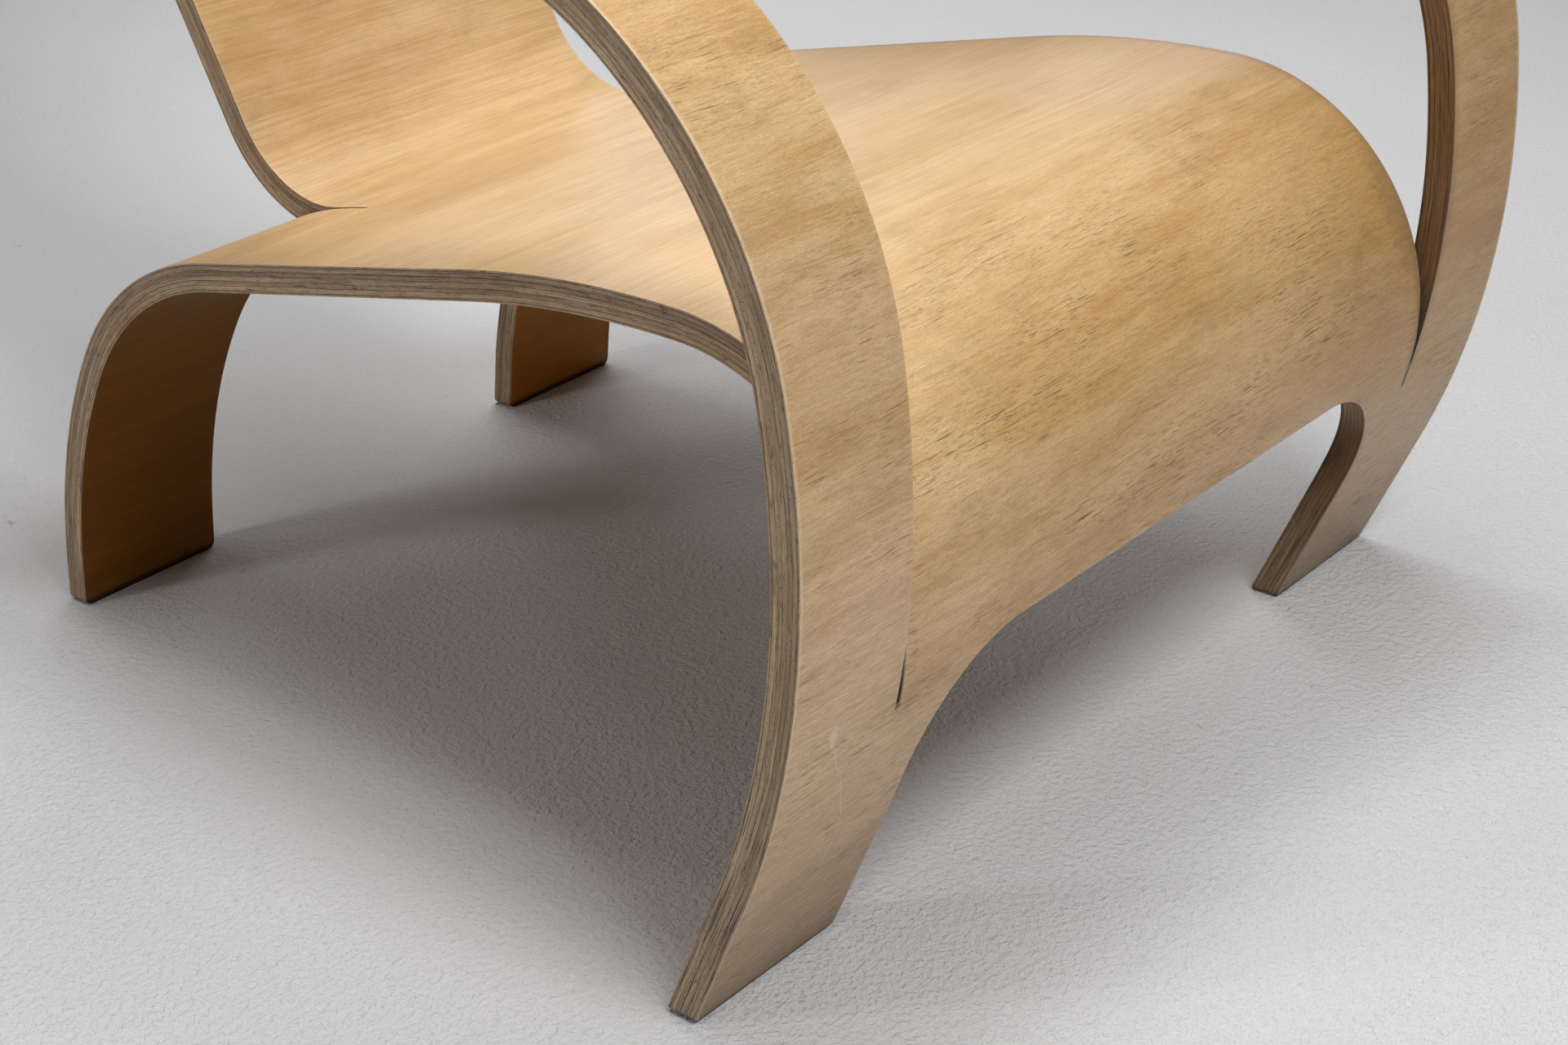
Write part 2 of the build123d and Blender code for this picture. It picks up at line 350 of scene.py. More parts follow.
class SheetPlan:
    """The chair's side lines and the edges of its flat sheet, worked out from its sizes."""

    def __init__(self, sizes):
        self.sizes = sizes
        self.sheet = 2 * sizes.face_veneer + 5 * sizes.inner_ply
        self.half, self.seat = sizes.overall_width / 2, sizes.seat_width / 2
        self.back, self.arch = sizes.back_width / 2, sizes.arch_width / 2
        self.arm_root, self.rear_root = self.seat + sizes.arm_slit, self.back + sizes.back_slit
        self.arch_mid = self.arch - sizes.arch_corner
        self.arch_shoulder = sizes.arch_height - sizes.arch_corner
        self.lay_out((0.0, 0.0, math.pi / 2 + sizes.front_leg_rake))
        deepest = shifted(walk(self.start, self.lines["back"]), self.sheet)[0]
        self.lay_out((-(self.bulge + deepest) / 2, 0.0, math.pi / 2 + sizes.front_leg_rake))

    def lay_out(self, foot):
        sizes = self.sizes
        self.start = step(foot, -FOOT_RUN, 0)
        straight, radius = sizes.front_leg_straight, sizes.front_leg_radius
        leg = [(FOOT_RUN + straight, 0), (sizes.arm_slit_end - straight, radius)]
        self.bulge = shifted(step(foot, straight, 0), radius)[0] - radius
        self.fork = walk(self.start, leg)

        arm = list(leg)
        arm.append(arc_to(self.fork, sizes.front_leg_radius, sizes.arm_bend_start))
        arm.append(arc_to(walk(self.start, arm), sizes.arm_bend_radius, sizes.arm_pitch))
        arm.append((sizes.arm_straight, 0))

        seat = list(leg)
        seat.append(arc_to(self.fork, sizes.seat_roll_radius, sizes.seat_crest_pitch))
        seat.append(arc_to(walk(self.start, seat), sizes.seat_crest_radius, -sizes.seat_pitch))
        seat.append((sizes.seat_straight, 0))
        self.rear_fork = walk(self.start, seat)

        back = seat + [(sizes.back_lead, 0)]
        back.append(arc_to(walk(self.start, back), -sizes.back_bend_radius, math.pi / 2 - sizes.back_recline))
        back.append((sizes.back_straight, 0))
        sweep = walk(self.start, back)
        top = math.acos(math.cos(sweep[2]) + (sizes.overall_height - sweep[1]) / sizes.back_sweep_radius)
        back.append(arc_to(sweep, sizes.back_sweep_radius, top))

        rear = seat + [(sizes.rear_leg_lead, 0)]
        rear.append(arc_to(walk(self.start, rear), sizes.rear_bend_radius, -sizes.rear_bend_end))
        rear.append(arc_to(walk(self.start, rear), sizes.rear_leg_radius, sizes.rear_leg_rake - math.pi / 2))
        ankle = walk(self.start, rear)
        rear.append((ankle[1] / math.cos(sizes.rear_leg_rake) + FOOT_RUN, 0))

        self.lines = {"back": back, "arm": arm, "rear": rear}
        self.ends = {name: sum(run for run, _ in steps) - FOOT_RUN for name, steps in self.lines.items()}
        self.ends["rear"] -= FOOT_RUN
        self.rear_fork_run = sum(run for run, _ in seat) - FOOT_RUN

    def station(self, line, run):
        """The station at a run from the floor along a line."""
        station, left = self.start, run + FOOT_RUN
        for piece, radius in self.lines[line]:
            if left <= piece:
                break
            station, left = step(station, piece, radius), left - piece
        else:
            piece, radius = self.lines[line][-1]
            station, left = walk(self.start, self.lines[line][:-1]), left + piece
        return step(station, left, radius)

    def leg_run(self, height):
        """The run at which the front legs reach a height."""
        low, high = 0.0, 0.3
        for _ in range(50):
            middle = (low + high) / 2
            low, high = (middle, high) if self.station("back", middle)[1] < height else (low, middle)
        return low

    def arch_edge(self, run):
        """Half the width of the arch at a run up the front legs."""
        rise = self.station("back", run)[1] - self.arch_shoulder
        if rise <= 0:
            return self.arch
        return self.arch_mid + math.sqrt(max(0.0, self.sizes.arch_corner ** 2 - rise ** 2))

    def arm_inner(self, run):
        """How far across the chair the inner edge of an arm lies."""
        rise = (self.station("arm", run)[1] - self.fork[1]) / self.sizes.arm_slit_flare_rise
        return self.arm_root + self.sizes.arm_slit_flare * min(1.0, max(0.0, rise))

    def rear_inner(self, run):
        """How far across the chair the inner edge of a rear leg lies."""
        reach = (self.station("rear", run)[0] - self.rear_fork[0]) / self.sizes.back_slit_flare_run
        return self.rear_root + self.sizes.back_slit_flare * min(1.0, max(0.0, reach))


def corner(gap, radius):
    """How far a rounded corner pulls an edge in, at a gap from the strip's end."""
    if gap >= radius:
        return 0.0
    return radius - math.sqrt(max(0.0, radius * radius - (radius - gap) ** 2))


def rows(low, high, low_corner=0.0, high_corner=0.0):
    """Runs from low to high, close together round the corners at either end."""
    runs = {low, high}
    for radius, end, way in ((low_corner, low, 1), (high_corner, high, -1)):
        if radius > 0:
            turns = max(6, int(radius / CORNER_SPACING))
            for k in range(turns + 1):
                runs.add(end + way * radius * (1 - math.cos(math.pi / 2 * k / turns)))
    inner_low, inner_high = low + low_corner, high - high_corner
    count = max(2, round((inner_high - inner_low) / ROW_SPACING))
    runs.update(np.linspace(inner_low, inner_high, count + 1).tolist())
    kept = []
    for run in sorted(runs):
        if not kept or run - kept[-1] > CLOSE:
            kept.append(run)
    kept[-1] = high
    return kept


# Columns, as shares of a strip's width, close together at its edges
ARM_COLUMNS = (0.0, 0.016, 0.055, 0.16, 0.33, 0.5, 0.67, 0.84, 0.945, 0.984, 1.0)
CHEEK_COLUMNS = (0.0, 0.03, 0.1, 0.27, 0.54, 0.73, 0.865, 0.955, 0.9865, 1.0)
BACK_COLUMNS = (0.0, 0.01, 0.035, 0.1, 0.2, 0.35, 0.5, 0.65, 0.8, 0.9, 0.965, 0.99, 1.0)
ROOT_COLUMNS = (0.0, 0.1, 0.35, 1.0)


def between(low, high, shares):
    """Places between two ends, given as shares of the way."""
    return [low + (high - low) * part for part in shares]


def near_foot(gap):
    """1 within the level part of a foot, 0 past the part that eases off, at a gap from the foot's end."""
    return max(0.0, min(1.0, 1 - (gap - FOOT_LEVEL) / FOOT_EASE))


def measure_edges(bm):
    """Notes at each point how far the nearest edge of the sheet is."""
    edge_layer = bm.verts.layers.float.new("edge")
    rim = [v for v in bm.verts if v.is_boundary]
    tree = KDTree(len(rim))
    for number, vert in enumerate(rim):
        tree.insert(vert.co, number)
    tree.balance()
    for vert in bm.verts:
        vert[edge_layer] = 0.0 if vert.is_boundary else tree.find(vert.co)[2]


def strip_rows(plan):
    """The runs of each strip's rows of points."""
    sizes, ends = plan.sizes, plan.ends
    fork, rear_fork = sizes.arm_slit_end, plan.rear_fork_run
    arch_side, arch_top = plan.leg_run(plan.arch_shoulder), plan.leg_run(sizes.arch_height)
    curve = []
    for k in range(ARCH_ROWS + 1):
        drop = sizes.arch_corner * (1 - math.sin(math.pi / 2 * k / ARCH_ROWS))
        curve.append(plan.leg_run(sizes.arch_height - drop))
    leg = rows(0.0, arch_side, low_corner=sizes.front_foot_corner)
    leg += [run for run in curve if arch_side + CLOSE < run < fork - 1e-4] + [fork]
    cheek = [fork] + [run for run in curve if fork + 1e-4 < run < arch_top - 1e-6] + [arch_top]
    return {
        "leg": leg,
        "arm": rows(fork, ends["arm"], high_corner=sizes.arm_end_corner),
        "cheek": cheek,
        "rear": rows(rear_fork, ends["rear"], high_corner=sizes.rear_foot_corner),
        "seat": [arch_top, arch_top + ARCH_RIM] + rows(arch_top + ROW_SPACING, rear_fork),
        "back": rows(rear_fork, ends["back"], high_corner=sizes.back_top_corner),
    }


def strip_columns(plan):
    """For each strip, a function that tells how far across its points lie at a run."""
    sizes, ends = plan.sizes, plan.ends
    root = between(plan.rear_root, plan.arch_mid, ROOT_COLUMNS)[:-1]
    root += between(plan.arch_mid, plan.seat, CHEEK_COLUMNS)

    def leg(run):
        pull = corner(run, sizes.front_foot_corner)
        inner = between(plan.arch_edge(run) + pull, plan.seat, CHEEK_COLUMNS)
        return inner + between(plan.arm_root, plan.half - pull, ARM_COLUMNS)

    def arm(run):
        pull = corner(ends["arm"] - run, sizes.arm_end_corner)
        return between(plan.arm_inner(run) + pull, plan.half - pull, ARM_COLUMNS)

    def cheek(run):
        return between(plan.arch_edge(run), plan.seat, CHEEK_COLUMNS)

    def rear(run):
        pull = corner(ends["rear"] - run, sizes.rear_foot_corner)
        low, high = plan.rear_inner(run) + pull, plan.seat - pull
        return [low + (high - low) * (x - plan.rear_root) / (plan.seat - plan.rear_root) for x in root]

    def seat(run):
        return [-x for x in reversed(root)] + between(-plan.back, plan.back, BACK_COLUMNS) + root

    def back(run):
        pull = corner(ends["back"] - run, sizes.back_top_corner)
        return between(-plan.back + pull, plan.back - pull, BACK_COLUMNS)

    return {"leg": leg, "arm": arm, "cheek": cheek, "rear": rear, "seat": seat, "back": back}


def flat_outline(plan):
    """The sheet's outline as a flat mesh: X across the chair, Y the run from the floor, strip by strip."""
    bm = bmesh.new()
    strip_layer = bm.verts.layers.float.new("strip")
    foot_layer = bm.verts.layers.float.new("foot")
    runs, columns = strip_rows(plan), strip_columns(plan)

    def lay_strip(name, strip, side=1):
        grid = []
        for run in runs[name]:
            slope = near_foot(run) * math.tan(plan.sizes.front_leg_rake)
            if strip == REAR_LEG:
                slope += near_foot(plan.ends["rear"] - run) * math.tan(plan.sizes.rear_leg_rake)
            line = []
            for x in columns[name](run):
                vert = bm.verts.new((side * x, run, 0.0))
                vert[strip_layer] = strip
                vert[foot_layer] = slope
                line.append(vert)
            grid.append(line)
        for lower, upper in zip(grid, grid[1:]):
            for k in range(len(lower) - 1):
                face = (lower[k], lower[k + 1], upper[k + 1], upper[k])
                bm.faces.new(face if side > 0 else face[::-1])

    for side in (-1, 1):
        lay_strip("leg", SEAT_AND_BACK, side)
        lay_strip("arm", ARM, side)
        lay_strip("cheek", SEAT_AND_BACK, side)
        lay_strip("rear", REAR_LEG, side)
    lay_strip("seat", SEAT_AND_BACK)
    lay_strip("back", SEAT_AND_BACK)
    bmesh.ops.remove_doubles(bm, verts=bm.verts, dist=2e-6)
    measure_edges(bm)
    mesh = bpy.data.meshes.new("flat sheet")
    bm.to_mesh(mesh)
    bm.free()
    return mesh


def side_line(plan, name):
    """A side line of the chair as a curve."""
    end = plan.ends[name] + (FOOT_RUN if name == "rear" else 0.0)
    count = int((end + FOOT_RUN) / LINE_SPACING)
    curve = bpy.data.curves.new(f"{name} line", "CURVE")
    curve.dimensions = "3D"
    spline = curve.splines.new("POLY")
    spline.points.add(count)
    for k in range(count + 1):
        y, z, _ = plan.station(name, -FOOT_RUN + (end + FOOT_RUN) * k / count)
        spline.points[k].co = (0.0, y, z, 1.0)
    return bpy.data.objects.new(f"{name} line", curve)


LINE_SOCKETS = ("Back Line", "Arm Line", "Rear Line")
NUMBER_SOCKETS = ("Upper Depth", "Lower Depth", "Edge Relief", "Seed")


def bending_sockets(tree):
    """What the bending tree is given and what it gives back."""
    given = {"Geometry": "Geometry", **dict.fromkeys(LINE_SOCKETS, "Object"),
             **dict.fromkeys(NUMBER_SOCKETS, "Float"), "Material": "Material"}
    for name, kind in given.items():
        tree.interface.new_socket(name, in_out="INPUT", socket_type=f"NodeSocket{kind}")
    tree.interface.new_socket("Geometry", in_out="OUTPUT", socket_type="NodeSocketGeometry")


def thickened(graph, given):
    """The flat sheet with an upper face and cut sides, each point with its place on the sheet."""

    def keep(geometry, attribute, value, kind="FLOAT", domain="POINT"):
        return graph.add("GeometryNodeStoreNamedAttribute", {"data_type": kind, "domain": domain},
                         {"Geometry": geometry, "Name": attribute, "Value": value})

    raised = graph.add("GeometryNodeExtrudeMesh", {"mode": "FACES"},
                       {"Mesh": given.output("Geometry"), "Offset Scale": 0.0, "Individual": False})
    walls = keep(raised, "cut", raised.output("Side"), domain="FACE")
    upper = keep(walls, "upper", raised.output("Top"))
    lower = graph.add("GeometryNodeFlipFaces", {}, {"Mesh": given.output("Geometry")})
    ply = graph.add("GeometryNodeJoinGeometry", {}, {"Geometry": [upper, lower]})

    is_upper = graph.stored("upper")
    depth = is_upper * given.output("Upper Depth") + (1 - is_upper) * given.output("Lower Depth")
    x, along, _ = graph.split(graph.add("GeometryNodeInputPosition"))
    run = along - graph.stored("foot") * depth
    return keep(ply, "sheet", graph.vector(x, run, depth), "FLOAT_VECTOR")


def bent_place(graph, given, x, run, depth):
    """Where a point of the sheet lies once its strip follows its side line."""
    places, headings = [], []
    for name in LINE_SOCKETS:
        line = graph.add("GeometryNodeObjectInfo", {}, {"Object": given.output(name)}, out="Geometry")
        sample = graph.add("GeometryNodeSampleCurve", {"mode": "LENGTH", "use_all_curves": True},
                           {"Curves": line, "Length": run + FOOT_RUN}, out="Position")
        places.append(sample)
        headings.append(sample.output("Tangent"))

    def chosen(values):
        value = values[SEAT_AND_BACK]
        for strip in (REAR_LEG, ARM):
            here = graph.compare("EQUAL", graph.stored("strip"), strip)
            value = graph.add("GeometryNodeSwitch", {"input_type": "VECTOR"},
                              {"Switch": here, "False": value, "True": values[strip]})
        return value

    under = graph.vectors("CROSS_PRODUCT", chosen(headings), (1.0, 0.0, 0.0))
    place = graph.vectors("ADD", chosen(places), graph.scaled(under, depth))
    return graph.vectors("ADD", place, graph.vector(x, 0.0, 0.0))


def roughened(graph, given, ply, x, run):
    """A ply whose cut edge stands a little in and out, except at the floor."""
    _, _, height = graph.split(graph.add("GeometryNodeInputPosition"))
    lifted = graph.ease(height, 0.002, 0.008)
    uneven = graph.noise(run / 0.009, given.output("Seed") * 3.7, x / 0.05, detail=3.0) - 0.5
    relief = uneven * lifted * 4.0 * given.output("Edge Relief")
    push = graph.scaled(graph.add("GeometryNodeInputNormal"), relief)
    rim = graph.compare("LESS_THAN", graph.stored("edge"), CLOSE)
    return graph.add("GeometryNodeSetPosition", {}, {"Geometry": ply, "Selection": rim, "Offset": push})


def bending_tree():
    """Geometry Nodes that give the flat sheet one ply's thickness and bend it along the side lines."""
    tree = bpy.data.node_groups.new("Bend sheet", "GeometryNodeTree")
    bending_sockets(tree)
    graph = Graph(tree)
    given = graph.add("NodeGroupInput")
    ply = thickened(graph, given)
    x, run, depth = graph.split(graph.stored("sheet", "FLOAT_VECTOR"))
    place = bent_place(graph, given, x, run, depth)
    ply = graph.add("GeometryNodeSetPosition", {}, {"Geometry": ply, "Position": place})
    ply = graph.add("GeometryNodeMergeByDistance", {}, {"Geometry": ply, "Distance": 1e-6})
    ply = roughened(graph, given, ply, x, run)
    ply = graph.add("GeometryNodeSetShadeSmooth", {}, {"Geometry": ply, "Shade Smooth": True})
    ply = graph.add("GeometryNodeRealizeInstances", {}, {"Geometry": ply})
    ply = graph.add("GeometryNodeSetMaterial", {}, {"Geometry": ply, "Material": given.output("Material")})
    graph.add("NodeGroupOutput", {}, {"Geometry": ply})
    return tree


class PlyMaker:
    """Makes plies from one flat sheet, one tree and one set of side lines."""

    def __init__(self, scene):
        self.plan = SheetPlan(scene.armchair_sizes)
        self.flat = flat_outline(self.plan)
        self.tree = bending_tree()
        self.lines = {name: side_line(self.plan, name) for name in ("back", "arm", "rear")}
        for line in self.lines.values():
            scene.collection.objects.link(line)

    def make(self, node, slot, upper, lower, material, relief, rounded=None):
        """Bends a ply, rounds the outer edge that wear has reached, and stands it for its CAD node."""
        sheet = bpy.data.objects.new(f"{node} blank", self.flat)
        bpy.context.scene.collection.objects.link(sheet)
        bend = sheet.modifiers.new("Bend sheet", "NODES")
        bend.node_group = self.tree
        values = {f"{name.title()} Line": line for name, line in self.lines.items()}
        values |= {"Upper Depth": upper, "Lower Depth": lower, "Edge Relief": relief,
                   "Seed": MILLIMETRES * upper, "Material": material}
        for item in self.tree.interface.items_tree:
            if item.in_out == "INPUT" and item.name in values:
                bend[item.identifier] = values[item.name]
        evaluated = sheet.evaluated_get(bpy.context.evaluated_depsgraph_get())
        mesh = bpy.data.meshes.new_from_object(evaluated)
        sheet.modifiers.clear()
        bpy.data.objects.remove(sheet)
        if len(mesh.polygons) < FEWEST_FACES:
            raise RuntimeError(f"{node} came out empty")
        finish_edges(mesh, rounded, bpy.context.scene.armchair_sizes.arris)
        mesh.name = node + ".look"
        piece = bpy.data.objects.new(node + ".look", mesh)
        bpy.context.scene.collection.objects.link(piece)
        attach(piece, "root")
        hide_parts(node)

    def clear(self):
        """Takes away the side lines and the flat sheet."""
        for line in self.lines.values():
            bpy.data.curves.remove(line.data)
        bpy.data.meshes.remove(self.flat)


def finish_edges(mesh, rounded, arris):
    """Turns faces outwards and rounds the edge between the cut sides and the outer face at one depth."""
    bm = bmesh.new()
    bm.from_mesh(mesh)
    bmesh.ops.recalc_face_normals(bm, faces=bm.faces)
    arris_layer = bm.faces.layers.float.new("arris")
    if rounded is not None:
        cut = bm.faces.layers.float["cut"]
        sheet = bm.verts.layers.float_vector["sheet"]
        edges = []
        for edge in bm.edges:
            if len(edge.link_faces) != 2:
                continue
            kinds = sorted(face[cut] for face in edge.link_faces)
            outer = all(abs(v[sheet].z - rounded) < CLOSE for v in edge.verts)
            if kinds == [0.0, 1.0] and outer and max(v.co.z for v in edge.verts) > 1e-4:
                edges.append(edge)
        made = bmesh.ops.bevel(bm, geom=edges, offset=arris, segments=3, profile=0.5, affect="EDGES",
                               offset_type="OFFSET", clamp_overlap=True)
        for face in made["faces"]:
            face[arris_layer] = 1.0
    for face in bm.faces:
        face.smooth = True
    bm.to_mesh(mesh)
    bm.free()
    mesh.set_sharp_from_angle(angle=math.radians(SHARP_ANGLE))


# Wood


def start_material(name):
    material = bpy.data.materials.new(name)
    material.use_nodes = True
    return material, Graph(material.node_tree)


def sheet_place(graph):
    """Place on the flat sheet in millimetres: across, along and depth."""
    place = graph.add("ShaderNodeAttribute", {"attribute_name": "sheet"}, {}, out="Vector")
    return tuple(part * MILLIMETRES for part in graph.split(place))


def flag(graph, name):
    return graph.add("ShaderNodeAttribute", {"attribute_name": name}, {}, out="Fac")


def end_material(material, graph, base, roughness, height, strength, distance, extra=None):
    bump = graph.add("ShaderNodeBump", {}, {"Strength": strength, "Distance": distance, "Height": height})
    sockets = {"Base Color": base, "Roughness": roughness, "Normal": bump, **(extra or {})}
    shader = graph.add("ShaderNodeBsdfPrincipled", {}, sockets)
    graph.add("ShaderNodeOutputMaterial", {}, {"Surface": shader})
    return material


def contact_shadow(graph, finish, base, reach, weight):
    """Painted contact shadow: darkens the foot of a piece, up to a reach in millimetres above the floor."""
    place = graph.add("ShaderNodeTexCoord", {}, {}, out="Object")
    up = graph.split(place)[2] * MILLIMETRES
    dark = [c * 0.25 for c in finish.glue]
    return graph.blend((1 - graph.ease(up, 0.3 * reach, reach)) * weight, base, dark)


def edge_wood(graph, finish, x, run, depth, seed, end_grain, level=1.0):
    """Colour and height of a ply's cut edge: streaks along the layers, stains, cracks and pits, darker layers
    towards the right, and painted shade inside the front slits.
    """

    def noise(long, deep, wide, shift, detail, roughness=0.5, layer=depth):
        """Noise by its wavelengths in millimetres along, through and across the sheet."""
        return graph.noise(run / long, layer / deep, x / wide + shift, detail, roughness)

    layer = depth + (noise(60.0, 4.0, 60.0, seed, 2.0) - 0.5) * 0.35
    streak = noise(95.0, 0.8, 60.0, seed, 4.0, 0.68, layer)
    fine = noise(14.0, 0.3, 30.0, seed * 2, 3.0, 0.65, layer)
    tone = graph.ease(streak * 0.5 + fine * 0.5, 0.37, 0.63)
    base = graph.blend(tone, [c * level for c in finish.edge_dark], [c * level for c in finish.edge_light])
    cloud = noise(48.0, 7.0, 90.0, 5.0, 4.0, 0.62)
    base = graph.blend(graph.ease(cloud, 0.46, 0.64) * 0.6, base, finish.edge_red)
    dusty = noise(70.0, 4.5, 90.0, 8.0, 5.0, 0.65)
    base = graph.blend(graph.ease(dusty, 0.44, 0.66) * 0.5, base, finish.edge_grey)

    flecks = graph.ease(noise(3.4, 0.5, 25.0, seed * 5, 2.0), 0.55, 0.7)
    base = graph.blend(flecks * 0.45, base, [c * 0.5 for c in finish.edge_dark])
    pit_long, pit_deep, pit_amount = (0.6, 1.8, 0.7) if end_grain else (4.0, 0.4, 0.2)
    pits = graph.ease(noise(pit_long, pit_deep, 20.0, seed * 7, 1.0), 0.62, 0.72) * pit_amount
    stains = graph.ease(noise(11.0, 2.2, 30.0, 11.0, 4.0, 0.68), 0.56, 0.68)
    base = graph.blend(graph.math("MAXIMUM", pits, stains * 0.6), base, finish.glue)

    low = 1 - graph.ease(run, 70.0, 250.0)
    cracks = graph.ease(noise(46.0, 0.6, 60.0, 31.0, 3.0, 0.6, layer), 0.56, 0.59) * low
    specks = graph.ease(noise(2.4, 0.9, 20.0, 41.0, 2.0), 0.62, 0.69) * (0.25 + 0.6 * low)
    base = graph.blend(low * 0.35, base, finish.edge_grey)
    base = graph.blend(graph.math("MAXIMUM", cracks * 0.92, specks * 0.85), base, finish.glue)

    # the cut edges darken on the right side, more so further from the floor
    right_edge_darkening = graph.band(x, 188.0, 200.0, 245.0, 260.0) * (0.52 + 0.44 * graph.ease(run, 30.0, 110.0))
    base = graph.blend(right_edge_darkening, base, graph.blend(tone, finish.right_edge_dark_layers, finish.right_edge_light_layers))
    reddened = graph.band(run, 95.0, 150.0, 165.0, 185.0) * graph.ease(x, 120.0, 140.0)
    base = graph.blend(reddened * 0.6, base, finish.edge_red)
    # painted shade on the cut edges inside the front slits
    slit_shade = 1 - graph.ease(abs(abs(x) - 228.0), 2.0, 4.0)
    base = graph.blend(slit_shade * (1 - graph.ease(run, 185.0, 235.0)) * 0.85, base, finish.glue)
    return base, streak * 0.6 + fine * 0.35 - pits * 0.6 - cracks * 0.5


def disc(graph, x, run, place, reach, ragged):
    """1 near a place on the sheet, 0 beyond its reach, with a ragged border."""
    away_x, away_run = (x - place[0]) / reach[0], (run - place[1]) / reach[1]
    return 1 - graph.ease(away_x * away_x + away_run * away_run + ragged, 0.2, 1.0)


# Marks of use: place on the sheet, reach, raggedness, colour and weight
MARKS = (
    ((222.0, 258.0), (18.0, 46.0), 1.6, "grime", 0.42),
    ((-196.0, 168.0), (9.0, 4.5), 1.0, "amber", 0.5),
    ((-224.0, 224.0), (5.0, 13.0), 1.0, "bare", 0.7),
    ((-271.5, 172.5), (3.2, 7.0), 2.2, "bare", 0.85),
)


def leg_marks(graph, finish, x, run, base, ragged):
    """Splits and dirt at the ends of the front slits, painted shadow that carries each slit on past its end,
    marks of use, and a long scratch on one front leg.
    """
    for side in (-1, 1):
        split = disc(graph, x, run, (side * 222.0, 192.0), (9.0, 26.0), ragged)
        lines = graph.ease(graph.noise(x / 16.0, run / 0.9, 71.0 + side, detail=1.0), 0.6, 0.68)
        base = graph.blend(split * lines * 0.8, base, finish.pore)
        # painted shadow: a dark line along the slit's line, so the slit looks longer
        gap = 1 - graph.ease(abs(x - side * 226.5), 1.0, 2.2)
        end = 156.5 - side * 6.0
        base = graph.blend(gap * graph.band(run, end, end + 4.0, 196.0, 214.0) * 0.9, base, finish.glue)
    for place, reach, raggedness, tone, weight in MARKS:
        mark = disc(graph, x, run, place, reach, ragged * raggedness)
        base = graph.blend(mark * weight, base, getattr(finish, tone))
    wobble = (graph.noise(run / 11.0, 3.3, 5.1, detail=2.0) - 0.5) * 7.0
    bent = graph.math("POWER", graph.ease(run, 85.0, 176.0), 1.9) * -25.0 - 247.0 + wobble
    thin = 1 - graph.ease(abs(x - bent), 0.1, 0.45)
    scratch = thin * graph.band(run, 64.0, 84.0, 170.0, 176.0)
    return graph.blend(scratch * 0.75, base, finish.bare)


